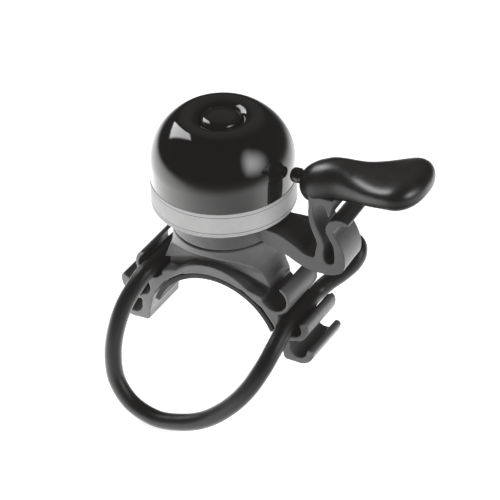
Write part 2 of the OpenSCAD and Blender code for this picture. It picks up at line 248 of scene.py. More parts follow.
def interp(x, xs, ys):
    """Smooth curve through stations."""
    xs, ys = np.asarray(xs, float), np.asarray(ys, float)
    m = np.gradient(ys, xs)
    i = np.clip(np.searchsorted(xs, x) - 1, 0, len(xs) - 2)
    h = xs[i + 1] - xs[i]
    t = np.clip((x - xs[i]) / h, 0, 1)
    return ((2 * t ** 3 - 3 * t ** 2 + 1) * ys[i] + (t ** 3 - 2 * t ** 2 + t) * h * m[i]
            + (-2 * t ** 3 + 3 * t ** 2) * ys[i + 1] + (t ** 3 - t ** 2) * h * m[i + 1])


# ---------------------------------------------------------------- shader helpers

class Graph:
    """The node tree of a material or world, with short ways to add nodes."""

    def __init__(self, owner, output):
        owner.use_nodes = True
        self.tree = owner.node_tree
        self.tree.nodes.clear()
        self.out = self.node(output)

    def put(self, socket, value):
        """Links a socket, or sets its value. A colour gets its alpha here."""
        if isinstance(value, bpy.types.NodeSocket):
            self.tree.links.new(value, socket)
        elif socket.type == "RGBA":
            socket.default_value = (*value, 1.0)
        else:
            socket.default_value = value

    def node(self, kind, inputs=None, **settings):
        node = self.tree.nodes.new("ShaderNode" + kind)
        for key, value in settings.items():
            setattr(node, key, value)
        for key, value in (inputs or {}).items():
            self.put(node.inputs[key], value)
        return node

    def show(self, shader):
        self.put(self.out.inputs[0], shader)

    def math(self, operation, a, b=0.0):
        return self.node("Math", {0: a, 1: b}, operation=operation).outputs[0]

    def add(self, a, b):
        return self.math("ADD", a, b)

    def times(self, a, b):
        return self.math("MULTIPLY", a, b)

    def ramp(self, value, low, high, to=(0.0, 1.0), kind="LINEAR"):
        """Maps low..high to the range in to, and clamps."""
        return self.node("MapRange", {"From Min": low, "From Max": high, "To Min": to[0],
                                      "To Max": to[1], "Value": value},
                         interpolation_type=kind).outputs["Result"]

    def separate(self, vector):
        return self.node("SeparateXYZ", {0: vector}).outputs

    def coordinate(self, kind):
        return self.node("TexCoord").outputs[kind]

    def mix_shader(self, factor, first, second):
        return self.node("MixShader", {0: factor, 1: first, 2: second}).outputs[0]

    def camera_ray(self):
        return self.node("LightPath").outputs["Is Camera Ray"]


class Mat(Graph):
    def __init__(self, name):
        self.material = bpy.data.materials.new(name)
        super().__init__(self.material, "OutputMaterial")

    @cached_property
    def position(self):
        """Object coordinates in millimetres."""
        return self.node("VectorMath", {0: self.coordinate("Object"), "Scale": 1000.0},
                         operation="SCALE").outputs[0]

    def noise(self, scale, detail=3.0, rough=0.55, vector=None, distort=0.0):
        return self.node("TexNoise", {"Scale": scale, "Detail": detail, "Roughness": rough,
                                      "Distortion": distort,
                                      "Vector": vector or self.position}).outputs[0]

    def stretch(self, scale, rotation):
        return self.node("Mapping", {"Scale": scale, "Rotation": rotation,
                                     "Vector": self.position}).outputs[0]

    def combine(self, x, y):
        return self.node("CombineXYZ", {0: x, 1: y}).outputs[0]

    def length(self, x, y):
        return self.math("SQRT", self.add(self.times(x, x), self.times(y, y)))

    def mix(self, factor, a, b):
        return self.node("Mix", {"Factor": factor, 6: a, 7: b}, data_type="RGBA").outputs[2]

    def bump(self, height, microns, under=None):
        """Relief of the given depth, over an earlier bump if there is one."""
        inputs = {"Strength": 1.0, "Distance": microns * 1e-6, "Height": height}
        if under:
            inputs["Normal"] = under
        return self.node("Bump", inputs).outputs[0]

    def principled(self, **inputs):
        inputs = {key.replace("_", " "): value for key, value in inputs.items()}
        self.show(self.node("BsdfPrincipled", inputs).outputs[0])
        return self.material


def scaled(color, factor, lift=0.0):
    return tuple(c * factor + lift for c in color)


# ---------------------------------------------------------------- materials

def gloss_black(name, base, rough):
    """Gloss paint with slow smudges, orange peel and fine specks."""
    m = Mat(name)
    smudge = m.noise(scale=0.16, detail=4.0, rough=0.6)
    peel = m.noise(scale=0.75, detail=1.5, rough=0.4)
    speck = m.noise(scale=9.0, detail=1.0, rough=0.5)
    return m.principled(
        Base_Color=m.mix(m.ramp(smudge, low=0.35, high=0.75),
                         (base, base * 0.98, base), (base * 1.5, base * 1.45, base * 1.5)),
        Roughness=m.add(m.ramp(smudge, low=0.3, high=0.8, to=(rough * 0.7, rough * 1.5)),
                        m.ramp(speck, low=0.68, high=0.8, to=(0.0, 0.05))),
        IOR=1.5,
        Normal=m.bump(speck, microns=0.35, under=m.bump(peel, microns=2.6)))


def nylon(name, base):
    """Satin glass-filled moulding: fine spark texture, slow flow marks, paler worn edges."""
    m = Mat(name)
    grain = m.noise(scale=5.5, detail=3.0, rough=0.6)
    fine = m.node("TexVoronoi", {"Scale": 9.0, "Vector": m.position},
                  feature="F1").outputs["Distance"]
    flow = m.noise(scale=0.22, detail=4.0, rough=0.6, distort=0.6)
    edge = m.ramp(m.node("NewGeometry").outputs["Pointiness"], low=0.515, high=0.56)
    wear = m.times(edge, m.ramp(m.noise(scale=0.9, detail=4.0),
                                low=0.45, high=0.62, to=(0.0, 0.55)))
    color = m.mix(m.ramp(flow, low=0.3, high=0.7), scaled(base, 0.82), scaled(base, 1.15))
    return m.principled(
        Base_Color=m.mix(wear, color, scaled(base, 2.0)),
        Roughness=m.add(m.ramp(grain, low=0.3, high=0.75, to=(0.40, 0.54)),
                        m.times(wear, 0.08)),
        IOR=1.44,
        Normal=m.bump(fine, microns=2.5, under=m.bump(grain, microns=7.0)))


def grip(name):
    """Softer semi-gloss black with a fine grain, and pale scuffs round the scoop."""
    m = Mat(name)
    grain = m.noise(scale=7.0, detail=2.0, rough=0.6)
    cloud = m.noise(scale=0.35, detail=4.0, rough=0.6)
    streaks = m.math("MAXIMUM", *[
        m.noise(scale=scale, detail=5.0, rough=0.75,
                vector=m.stretch(scale=stretch, rotation=rotation))
        for scale, stretch, rotation in ((1.4, (0.25, 1.6, 1.0), (0, 0.3, 0.5)),
                                         (1.1, (1.7, 0.3, 1.0), (0.2, 0, -0.4)))])
    x, _, z = m.separate(m.position)
    on_scoop = m.times(m.ramp(x, low=31, high=36),
                       m.ramp(z, low=RIM + 13.5, high=RIM + 15.5))
    scuff = m.times(m.ramp(streaks, low=0.585, high=0.69), m.ramp(cloud, low=0.46, high=0.6))
    # a fifth of the scuffing is everywhere, the rest only on the scoop
    scuff = m.times(scuff, m.add(m.times(on_scoop, 0.8), 0.2))
    relief = m.bump(m.noise(scale=0.8, detail=2.0), microns=16.0,
                    under=m.bump(scuff, microns=7.0))
    # painted shade: the grip reflects less the more its surface faces down, which darkens its
    # underside
    facing_up = m.separate(m.node("NewGeometry").outputs["Normal"])[2]
    return m.principled(
        Base_Color=m.mix(m.times(scuff, 0.4), (0.0035, 0.0034, 0.0035), (0.05, 0.05, 0.052)),
        Roughness=m.add(m.ramp(cloud, low=0.3, high=0.7, to=(0.31, 0.38)),
                        m.times(scuff, 0.2)),
        IOR=1.47,
        Normal=m.bump(grain, microns=7.0, under=relief),
        Specular_IOR_Level=m.ramp(facing_up, low=-0.2, high=0.55, to=(0.05, 0.75)))


def rubber(name, base, rough, grain_microns, grain_scale, ior=1.5):
    """Matt rubber with a fine grain, slow unevenness and a pale bloom."""
    m = Mat(name)
    grain = m.noise(scale=grain_scale, detail=4.0, rough=0.65)
    slow = m.noise(scale=0.18, detail=3.0, rough=0.6)
    bloom = m.ramp(m.noise(scale=0.45, detail=5.0, rough=0.7), low=0.5, high=0.75, to=(0.0, 0.5))
    return m.principled(
        Base_Color=m.mix(bloom, base, scaled(base, 1.6, lift=0.002)),
        Roughness=m.ramp(slow, low=0.3, high=0.7, to=rough),
        IOR=ior,
        Normal=m.bump(grain, microns=grain_microns, under=m.bump(slow, microns=30.0)))


def metal(name, base, rough, microns):
    """Turned or rolled metal: fine lines round the axis, a little tarnish."""
    m = Mat(name)
    x, y, z = m.separate(m.position)
    lines = m.noise(scale=9.0, detail=2.0, rough=0.5, vector=m.combine(m.length(x, y), z))
    spots = m.noise(scale=0.8, detail=5.0, rough=0.65)
    return m.principled(
        Base_Color=m.mix(m.ramp(spots, low=0.4, high=0.7), base, scaled(base, 0.72)),
        Metallic=1.0,
        Roughness=m.add(m.ramp(spots, low=0.3, high=0.7, to=(rough * 0.8, rough * 1.3)),
                        m.ramp(lines, low=0.3, high=0.7, to=(-0.04, 0.05))),
        Normal=m.bump(lines, microns=microns))


def foil(name):
    """Satin silver-grey foil, with painted shade: its colour is deeper grey towards -X, where the
    left softbox lights it most.

    It has fine hoop brushing, faint handling marks and a pin line near each edge.
    """
    pin_heights, pin_half_width = (5.45, 1.25), 0.085
    m = Mat(name)
    x, y, z = m.separate(m.position)
    hoop = m.combine(m.times(m.math("ARCTAN2", y, x), 0.6), m.times(z, 7.0))
    brush = m.noise(scale=3.0, detail=4.0, rough=0.6, vector=hoop)
    spots = m.noise(scale=0.6, detail=5.0, rough=0.65)
    height = m.math("SUBTRACT", z, RIM)
    line = m.math("MAXIMUM", *[
        m.math("LESS_THAN", m.math("ABSOLUTE", m.math("SUBTRACT", height, pin)), pin_half_width)
        for pin in pin_heights])
    pale = m.mix(m.ramp(spots, low=0.35, high=0.7), (0.445, 0.445, 0.447), (0.405, 0.405, 0.408))
    painted_shade_grey = m.mix(m.ramp(spots, low=0.35, high=0.7), (0.19, 0.19, 0.191), (0.17, 0.17, 0.172))
    # painted shade: darker towards -X, to even out the strong light from the left softbox
    color = m.mix(m.ramp(x, low=-11, high=4), painted_shade_grey, pale)
    return m.principled(
        Base_Color=m.mix(m.times(line, 0.8), color, (0.05, 0.05, 0.052)),
        Metallic=0.06,
        Roughness=m.add(m.ramp(brush, low=0.3, high=0.7, to=(0.46, 0.56)), m.times(line, 0.15)),
        IOR=1.5,
        Normal=m.bump(brush, microns=1.6, under=m.bump(spots, microns=3.0)))


DOME_BLACK = gloss_black("dome_gloss_black", base=0.0045, rough=0.05)
BOLT_BLACK = gloss_black("bolt_gloss_black", base=0.005, rough=0.06)
PIN_BLACK = gloss_black("pin_black", base=0.006, rough=0.16)
FOIL = foil("band_foil")
NYLON = nylon("charcoal_nylon", base=(0.052, 0.052, 0.053))
# painted light: the striker's nylon made paler on the saddle, standing in for more light on it
# than the lamps give
SADDLE_NYLON_PAINTED_LIGHTER = nylon("saddle_nylon_painted_lighter", base=(0.078, 0.078, 0.079))
GRIP_BLACK = grip("grip_black")
RING_RUBBER = rubber("ring_rubber", base=(0.005, 0.005, 0.0052), rough=(0.36, 0.44),
                     grain_microns=4.0, grain_scale=3.5, ior=1.36)
PAD_RUBBER = rubber("pad_rubber", base=(0.014, 0.014, 0.014), rough=(0.62, 0.75),
                    grain_microns=14.0, grain_scale=3.0, ior=1.34)
SOFT_RUBBER = rubber("damper_rubber", base=(0.02, 0.02, 0.021), rough=(0.6, 0.75),
                     grain_microns=10.0, grain_scale=3.0)
WASHER_NYLON = rubber("washer_nylon", base=(0.008, 0.008, 0.0085), rough=(0.45, 0.6),
                      grain_microns=4.0, grain_scale=5.0)
ALUMINIUM = metal("turned_aluminium", base=(0.72, 0.72, 0.74), rough=0.26, microns=3.0)
STEEL = metal("zinc_steel", base=(0.56, 0.56, 0.57), rough=0.34, microns=4.0)


def paint(mesh, material):
    mesh.materials.clear()
    mesh.materials.append(material)


def dress(ob, material, cad_node, body="saddle"):
    """Gives a piece its material, and tells the frame what it replaces and rides on."""
    paint(ob.data, material)
    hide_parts(cad_node)
    if body:
        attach(ob, body)


# CAD pieces that keep their own mesh
for node, material in (("dome_pillar", ALUMINIUM), ("disc_spring", STEEL),
                       ("swivel_washer", WASHER_NYLON), ("nut_washer", STEEL),
                       ("lock_washer", STEEL), ("lock_nut", STEEL)):
    paint(nodes[node].data, material)


# ---------------------------------------------------------------- dome stack

SKIN = 16.4          # painted skirt's radius, under the foil
SKIRT = 10.68        # where the shoulder starts
WALL = 1.2
DISH = 20.2          # top face of the dish's floor
DISH_UNDER = DISH - WALL
BORE = 2.2           # hole through the dish's floor
PILLAR_TOP = 18.0
GASKET = 0.3         # gap between the dish and the bolt's head
CLEARANCE = 0.005    # between a washer and its neighbours
CUT_BACK = 0.2       # radians left off an arc that meets a straight


def dome_outline():
    """Radius, height and slope along the dome's shoulder.

    It is an ellipse whose curvature tightens smoothly into the roll round the dish.
    """
    a, b = 15.48, 13.59                        # ellipse's half width and half height
    roll_radius = 4.06
    roll_start, roll_blend = 46.5, 20.0        # degrees of slope
    points, substeps = 170, 8
    slope = np.radians(np.linspace(0, 148, points * substeps))
    # the ellipse's own slope is held short of its crown
    on_ellipse = np.minimum(slope, math.radians(85))
    t = np.arctan2(b * np.sin(on_ellipse), a * np.cos(on_ellipse))
    ellipse_radius = (a * a * np.sin(t) ** 2 + b * b * np.cos(t) ** 2) ** 1.5 / (a * b)
    blend = np.clip((np.degrees(slope) - roll_start) / roll_blend, 0, 1)
    blend = blend * blend * (3 - 2 * blend)
    bend = ellipse_radius * (1 - blend) + roll_radius * blend

    def summed(rate):
        return np.concatenate([[0], np.cumsum(rate[:-1] * np.diff(slope))])

    r = SKIN - summed(bend * np.sin(slope))
    z = SKIRT + summed(bend * np.cos(slope))
    keep = (slope < math.radians(90)) | (z > DISH + 0.2)
    return r[keep][::substeps], z[keep][::substeps], slope[keep][::substeps]


def build_dome():
    r, z, slope = dome_outline()
    outer = [(SKIN, h) for h in (0.25, 2.5, 5.0, 8.0)] + list(zip(r, z))
    outer += round_corner((r[-1], z[-1]), (r[-1] - 0.16, DISH), (3.2, DISH), radius=0.12, steps=4)
    outer += [(3.2, DISH), (BORE + 0.05, DISH), (BORE, DISH - 0.05)]
    r, z = r - WALL * np.cos(slope), z - WALL * np.sin(slope)
    keep = (slope < math.radians(90)) | (z > DISH_UNDER + 0.1)
    r, z = r[keep][::-2], z[keep][::-2]
    inner = [(BORE, DISH_UNDER + 0.05), (BORE + 0.05, DISH_UNDER), (r[0] - 0.1, DISH_UNDER)]
    inner += list(zip(r, z)) + [(SKIN - WALL, 6.0), (SKIN - WALL, 0.3)]
    lip = arc((SKIN - WALL + 0.3, 0.3), 0.3, math.pi + CUT_BACK, 3 * HALF_PI, 6)
    lip += arc((SKIN - 0.25, 0.25), 0.25, -HALF_PI, -CUT_BACK, 6)
    dome = done(lathe("bell_gong", outer + inner + lip, 240), 40)
    dress(dome, DOME_BLACK, "bell_dome")


def build_band():
    """Foil sleeve: a very slightly rolled top edge and a heavier bead at the bottom."""
    thick, bead, bead_bottom, bead_height = 0.10, 0.045, 0.40, 0.42
    outline = [(SKIN - 0.005, 0.4), (SKIN + 0.06, 0.36)]
    outline += [(SKIN + thick + bead * math.sin(math.pi * t), bead_bottom + bead_height * t)
                for t in np.linspace(0, 1, 9)]
    outline += [(SKIN + thick, h) for h in (0.95, 1.6, 2.6, 3.8, 5.0, 6.0, 6.25)]
    outline += arc((SKIN, 6.28), thick, CUT_BACK, HALF_PI, 5)
    band = done(lathe("rim_sleeve", outline, 240), 40)
    dress(band, FOIL, "rim_band")


def build_bolt():
    """Smooth mushroom head and shank."""
    shank, shank_end = 1.95, -17.6
    head, under, edge = 4.5, DISH + GASKET, 0.15
    crown_base, crown_height = under + 0.33, 1.8
    outline = [(0, shank_end), (1.72, shank_end), (shank, -17.35), (shank, -8.0), (shank, 6.0),
               (shank, under - 0.12), (2.07, under), (head - 0.18, under)]
    outline += arc((head - edge, under + edge), edge, CUT_BACK - HALF_PI, 0, 5)
    outline += [(head * math.cos(t), crown_base + crown_height * math.sin(t))
                for t in np.linspace(0, HALF_PI, 40)[:-1]]
    outline += [(0, crown_base + crown_height)]
    bolt = done(lathe("crown_bolt", outline, 128), 40)
    dress(bolt, BOLT_BLACK, "centre_bolt")


def build_washer(name, cad_node, outer, bottom, top, edge, bulge):
    """Moulded rubber washer: rounded edges, and a rim that swells where it's squeezed."""
    bore = 2.1
    mid, half = (bottom + top) / 2, (top - bottom) / 2
    outline = [(bore, mid)]
    outline += arc((bore + edge, bottom + edge), edge, math.pi, 3 * HALF_PI, 5)
    outline += arc((outer - edge, bottom + edge), edge, -HALF_PI, 0, 5)
    outline += [(outer + bulge * math.cos(math.pi * u / 2), mid + (half - edge) * u)
                for u in np.linspace(-0.9, 0.9, 7)]
    outline += arc((outer - edge, top - edge), edge, 0, HALF_PI, 5)
    outline += arc((bore + edge, top - edge), edge, HALF_PI, math.pi, 5)
    dress(done(lathe(name, outline, 128), 40), SOFT_RUBBER, cad_node)


build_dome()
build_band()
build_bolt()
build_washer("gasket_rubber", "head_gasket", outer=4.15, bottom=DISH + CLEARANCE,
             top=DISH + GASKET - CLEARANCE, edge=0.06, bulge=0.03)
build_washer("damper_rubber_washer", "dome_damper", outer=5.05, bottom=PILLAR_TOP + CLEARANCE,
             top=DISH_UNDER - CLEARANCE, edge=0.12, bulge=0.06)


# ---------------------------------------------------------------- striker moulding

ARM_WIDTH = 9.0
TANG_WIDTH = 5.6
HUB_BORE = 3.56
CUT = -5.2             # height where the blade parts from its flexing root

# r, z: the hub's plate, outer ring and inner ring
HUB = [
    [(HUB_BORE, -6.3), (11.8, -6.3), (12.0, -6.1), (12.0, -4.4), (HUB_BORE, -4.4)],
    [(10.4, -5.0), (12.0, -5.0), (12.0, -2.7), (11.7, -2.4), (10.4, -2.4)],
    [(HUB_BORE, -5.0), (7.4, -5.0), (7.4, -2.4), (HUB_BORE, -2.4)]]
# x, z: block that joins the two rings on the arm's line
HUB_BRIDGE = [(6.0, -5.2), (6.0, -2.4), (11.0, -2.4), (11.0, -5.2)]
# x, z, half thickness: from the hub outwards, then up in a curl
ARM = [
    (7.5, -4.3, 1.8), (11.7, -4.35, 1.82), (13.4, -4.75, 2.1), (15.3, -5.15, 2.15),
    (18.4, -6.5, 1.95), (21.2, -8.1, 1.8), (23.8, -8.75, 1.95), (26.2, -9.0, 1.75),
    (28.1, -9.15, 1.5), (30.1, -8.15, 1.4), (30.6, -6.3, 1.3), (30.45, -4.4, 1.2),
    (30.1, -2.8, 1.0), (29.45, -1.3, 0.9), (28.6, 0.2, 0.86), (28.25, 1.4, 0.98),
    (28.9, 2.8, 1.15), (30.0, 3.75, 0.9), (31.2, 4.08, 0.72), (32.5, 4.02, 0.5)]
# x, z, half thickness: from the arm up to the head
BLADE = [
    (25.5, -8.8, 1.6), (25.6, -7.2, 1.12), (25.65, -5.2, 0.98), (25.95, -3.4, 0.87),
    (25.7, -1.8, 0.85), (25.1, -0.3, 0.82), (24.4, 1.4, 0.76), (23.95, 3.1, 0.68),
    (23.74, 4.7, 0.65), (23.8, 6.3, 0.62), (24.0, 7.6, 0.78)]
# x, z: fillets at the blade's foot
ROOT = [
    (23.0, -8.4), (23.35, -7.55), (24.05, -7.0), (24.5, -6.3), (24.68, -5.2), (26.62, -5.2),
    (26.6, -6.3), (26.85, -7.1), (27.5, -7.65), (28.3, -7.8), (28.0, -9.2), (25, -9.4)]
# x, z: head on the blade's top, with a lip that hangs down on its outer side
HEAD = [
    (23.2, 7.1), (23.15, 9.6), (29.3, 9.6), (29.1, 7.9), (28.45, 5.3), (28.2, 4.95),
    (27.95, 5.05), (27.6, 6.5), (27.25, 7.5), (26.5, 8.0), (25.4, 8.1), (24.85, 7.7), (24.55, 7.0)]
# x, z: tang that stands up into the grip
TANG = [(23.6, 8.7), (23.6, 12.2), (24.1, 12.7), (28.1, 12.7), (28.6, 12.2), (28.6, 8.7)]


def cut_blade(bm):
    """Splits the mesh across the blade, and returns the indices of the part above."""
    faces = [f for f in bm.faces
             if all(23.7 < v.co.x < 27.7 and -6.4 < v.co.z < -4.0 for v in f.verts)]
    geom = list({v for f in faces for v in f.verts}) + list({e for f in faces for e in f.edges})
    cut = bmesh.ops.bisect_plane(bm, geom=geom + faces, dist=1e-5,
                                 plane_co=(0, 0, CUT), plane_no=(0, 0, 1))
    edges = [g for g in cut["geom_cut"] if isinstance(g, bmesh.types.BMEdge)]
    bmesh.ops.split_edges(bm, edges=edges)
    bm.verts.ensure_lookup_table()
    # walk over everything joined to the top of the tang
    seed = max((v for v in bm.verts if 23 < v.co.x < 29), key=lambda v: v.co.z)
    seen, stack = {seed}, [seed]
    while stack:
        vert = stack.pop()
        for edge in vert.link_edges:
            other = edge.other_vert(vert)
            if other not in seen:
                seen.add(other)
                stack.append(other)
    return {v.index for v in seen}


def half_of(bm, name, upper, keep_upper):
    """One side of the cut as a closed object."""
    part = bm.copy()
    part.verts.ensure_lookup_table()
    drop = [v for v in part.verts if (v.index in upper) != keep_upper]
    bmesh.ops.delete(part, geom=drop, context="VERTS")
    open_edges = [e for e in part.edges if e.is_boundary]
    caps = bmesh.ops.holes_fill(part, edges=open_edges, sides=0)
    bmesh.ops.triangulate(part, faces=caps["faces"])
    bmesh.ops.recalc_face_normals(part, faces=part.faces)
    mesh = bpy.data.meshes.new(name)
    part.to_mesh(mesh)
    part.free()
    return link(name, mesh)


def build_striker():
    """One moulding, with the blade split off at its flexing root as a separate piece."""
    parts = [lathe("part", outline, 160) for outline in HUB]
    parts += [along_y("part", outline, ARM_WIDTH)
              for outline in (HUB_BRIDGE, ribbon(ARM, 8), ribbon(BLADE, 8), ROOT, HEAD)]
    parts.append(along_y("part", TANG, TANG_WIDTH))
    striker = remesh(join("striker", parts), voxel=0.13, smoothing=6)
    bm = bmesh.new()
    bm.from_mesh(striker.data)
    upper = cut_blade(bm)
    base = half_of(bm, "striker_moulding", upper, keep_upper=False)
    blade = half_of(bm, "lever_moulding", upper, keep_upper=True)
    bm.free()
    remove(striker)
    done(turn_head(base), 60)
    dress(base, NYLON, "striker_base", body="striker_head")
    done(turn_head(blade), 60)
    dress(blade, NYLON, "lever_blade", body=None)
    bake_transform(blade)


build_striker()


# ---------------------------------------------------------------- thumb grip and pin

# x, middle's height, half width, height above middle, depth below it, dip of the scoop
GRIP = [
    (19.5, 10.1, 4.95, 5.1, 4.85, 0.0), (22.0, 10.25, 4.95, 5.35, 4.85, 0.0),
    (24.4, 10.75, 4.9, 5.55, 4.85, 0.0), (27.0, 11.85, 4.7, 5.35, 4.85, 0.0),
    (29.5, 12.8, 4.5, 4.75, 4.75, 0.0), (32.0, 13.25, 4.9, 4.2, 4.4, 0.0),
    (34.0, 13.5, 5.5, 3.85, 4.1, 0.05), (36.0, 13.8, 6.3, 3.7, 3.8, 0.2),
    (39.0, 14.45, 7.5, 3.55, 3.55, 0.45), (42.0, 15.2, 8.45, 3.55, 3.5, 0.55),
    (44.0, 15.65, 8.8, 3.7, 3.65, 0.45), (45.5, 15.85, 8.85, 3.8, 3.8, 0.25),
    (47.0, 16.0, 8.85, 3.8, 3.8, 0.1), (50.4, 16.2, 8.85, 3.65, 3.6, 0.0)]
GRIP_START, GRIP_END = GRIP[0][0], GRIP[-1][0]
BULB_END = 28.5        # inside this x the section closes to the round inner end
TIP_START = 44.0       # outside this x it closes to the tip


def grip_mesh():
    """A round bulb over the blade runs into a wide, flat paddle dished for the thumb."""
    stations, *columns = zip(*GRIP)
    bulb, tip = BULB_END - GRIP_START, GRIP_END - TIP_START
    places = [BULB_END - bulb * math.sin(t) for t in np.linspace(HALF_PI, 0, 70)[1:-1]]
    places += list(np.linspace(BULB_END, TIP_START, 90))
    places += [TIP_START + tip * math.sin(t) for t in np.linspace(0, HALF_PI, 40)[1:-1]]
    segments = 160
    verts, rows = [], []
    for x in places:
        middle, width, above, below, dip = (float(interp(x, stations, c)) for c in columns)
        close = 1.0
        if x < BULB_END:
            close = math.sqrt(max(0.0, 1 - ((BULB_END - x) / bulb) ** 3.5))
        elif x > TIP_START:
            close = max(0.0, 1 - ((x - TIP_START) / tip) ** 2.25) ** (1 / 2.25)
        width, above, below, dip = width * close, above * close, below * close, dip * close
        # superellipse powers of the section's upper and lower halves
        upper = 2.0 + 0.2 * min(1, max(0, (x - 34) / 9))
        lower = 2.25 + 0.6 * min(1, max(0, (x - 27) / 9))
        rows.append(range(len(verts), len(verts) + segments))
        for k in range(segments):
            t = 2 * math.pi * k / segments
            c, s = math.cos(t), math.sin(t)
            power = upper if s > 0 else lower
            out, rise = abs(c) ** (2 / power), abs(s) ** (2 / power)
            if s > 0:
                height = above * rise - dip * rise * (1 - out * out)
            else:
                height = -below * rise
            verts.append((x, math.copysign(width * out, c), middle + height))
    faces = []
    for row, after in zip(rows[:-1], rows[1:]):
        for k in range(segments):
            j = (k + 1) % segments
            faces.append([row[k], row[j], after[j], after[k]])
    for row in (rows[0], rows[-1]):
        centre = len(verts)
        verts.append(tuple(np.mean([verts[i] for i in row], axis=0)))
        faces += [[row[k], row[(k + 1) % segments], centre] for k in range(segments)]
    return from_lists("thumb_grip_body", verts, faces)


def build_pin():
    """Striker pin: turned round Z, then laid along +X with its domed tip inwards."""
    tip_x, tip_z = 17.1, 10.9
    radius, flat, dome = 1.75, 0.55, 1.25
    outline = [(0, 0)]
    outline += [(flat + (radius - flat) * math.sin(t), dome - dome * math.cos(t))
                for t in np.linspace(0, HALF_PI, 14)]
    outline += [(radius, 1.6), (radius, 2.1), (radius - 0.1, 2.35), (1.5, 2.45), (1.5, 2.9),
                (1.0, 3.2), (0.98, 5.2), (0, 5.2)]
    pin = lathe("striker_nub", outline, 64)
    pin.data.transform(Matrix.Translation((tip_x, 0, tip_z)) @ Matrix.Rotation(HALF_PI, 4, "Y"))
    done(turn_head(pin), 50)
    dress(pin, PIN_BLACK, "striker_pin", body="thumb_lever")


thumb_grip = done(turn_head(remesh(grip_mesh(), voxel=0.16, smoothing=20)))
dress(thumb_grip, GRIP_BLACK, "thumb_grip", body="thumb_lever")
build_pin()


# ---------------------------------------------------------------- saddle and pad

GROOVE_HALF = 6.7            # half the length of the saddle's grooves, along Y
GROOVE = (20.4, -25.7)       # x, z: centre of the right middle groove
BEAD_LEAN = math.radians(-1.7)
# degrees round the groove's centre, distance from it, half thickness
BEAD = [(26, 3.25, 0.8), (16, 3.28, 1.1), (2, 3.36, 1.05), (-15, 3.5, 0.85), (-34, 3.6, 0.65)]


def groove_beads():
    """Full round beads that end the middle grooves' lips, one at each side."""
    stations = [(GROOVE[0] + r * math.cos(math.radians(a)),
                 GROOVE[1] + r * math.sin(math.radians(a)), half) for a, r, half in BEAD]
    outline = ribbon(stations, 6)
    # both turn the same way round the bar's axis
    lean = (Matrix.Translation((0, 0, -RIM)) @ Matrix.Rotation(BEAD_LEAN, 4, "Y")
            @ Matrix.Translation((0, 0, RIM)))
    beads = [along_y("bead", side, 2 * GROOVE_HALF)
             for side in (outline, [(-x, z) for x, z in outline][::-1])]
    for bead in beads:
        bead.data.transform(lean)
    return beads


bracket = join("saddle_moulding", [from_node("bracket", "saddle_bracket")] + groove_beads())
done(remesh(bracket, voxel=0.14, smoothing=6))
dress(bracket, SADDLE_NYLON_PAINTED_LIGHTER, "saddle_bracket")

pad = done(remesh(from_node("saddle_liner", "saddle_pad"), voxel=0.11, smoothing=4))
dress(pad, PAD_RUBBER, "saddle_pad")


# ---------------------------------------------------------------- rubber ring

CORD_RADIUS = 2.04
LEFT_X, LEFT_Z = -16.8, -20.3      # the cord's middle in the left groove
RIGHT_X, RIGHT_Z = 19.0, -25.2     # and in the right groove
# x, y, z: the cord's middle, round the closed loop
RING = [
    (LEFT_X, -GROOVE_HALF, LEFT_Z), (-17.6, -10.5, -22), (-19.4, -14.5, -26.8),
    (-20.3, -17.5, -32.5), (-20.3, -19.5, -38.5), (-18.8, -20.8, -44.5), (-14.5, -21.6, -49.2),
    (-8, -22, -51), (-1.5, -22, -49.8), (4.5, -21.5, -47.3), (10, -20.6, -43),
    (14.6, -19, -37.6), (17.6, -16.2, -32), (18.9, -12, -27.6),
    (RIGHT_X, -GROOVE_HALF, RIGHT_Z), (RIGHT_X, 0, RIGHT_Z), (RIGHT_X, GROOVE_HALF, RIGHT_Z),
    (20.5, 10.3, -23.7), (22.7, 13, -22), (24.5, 15.2, -20), (24.9, 17.2, -18.2),
    (23, 19.4, -17.2), (17.5, 20.3, -16.7), (9, 19.6, -16.5), (0, 18.5, -16.6),
    (-8, 16.8, -17.4), (-13.6, 13.6, -19.1), (-16.4, 10, -20.1),
    (LEFT_X, GROOVE_HALF, LEFT_Z), (LEFT_X, 0, LEFT_Z)]


def ring_mesh():
    curve = catmull(RING, 12, closed=True)
    count, sides = len(curve), 40
    along = np.roll(curve, -1, 0) - np.roll(curve, 1, 0)
    along /= np.linalg.norm(along, axis=1)[:, None]
    # carry a frame along the loop, then take out the twist it picks up
    normals = np.zeros_like(curve)
    normal = np.cross(along[0], (0.12, -0.62, 0.78))
    normals[0] = normal / np.linalg.norm(normal)
    for i in range(1, count):
        normal = normals[i - 1] - along[i] * (normals[i - 1] @ along[i])
        normals[i] = normal / np.linalg.norm(normal)
    normal = normals[-1] - along[0] * (normals[-1] @ along[0])
    normal /= np.linalg.norm(normal)
    twist = math.atan2(np.cross(normal, normals[0]) @ along[0], normal @ normals[0])
    verts, faces = [], []
    for i in range(count):
        across = np.cross(along[i], normals[i])
        row, after = i * sides, (i + 1) % count * sides
        for k in range(sides):
            a = 2 * math.pi * k / sides + twist * i / count
            j = (k + 1) % sides
            verts.append(curve[i] + CORD_RADIUS * (math.cos(a) * normals[i]
                                                   + math.sin(a) * across))
            faces.append([row + k, row + j, after + j, after + k])
    return from_lists("rubber_ring_cord", verts, faces)


dress(done(ring_mesh()), RING_RUBBER, "rubber_ring")


# ---------------------------------------------------------------- floor

FLOOR = (-53.15 + RIM) * MM
FLOOR_HALF = 6         # metres

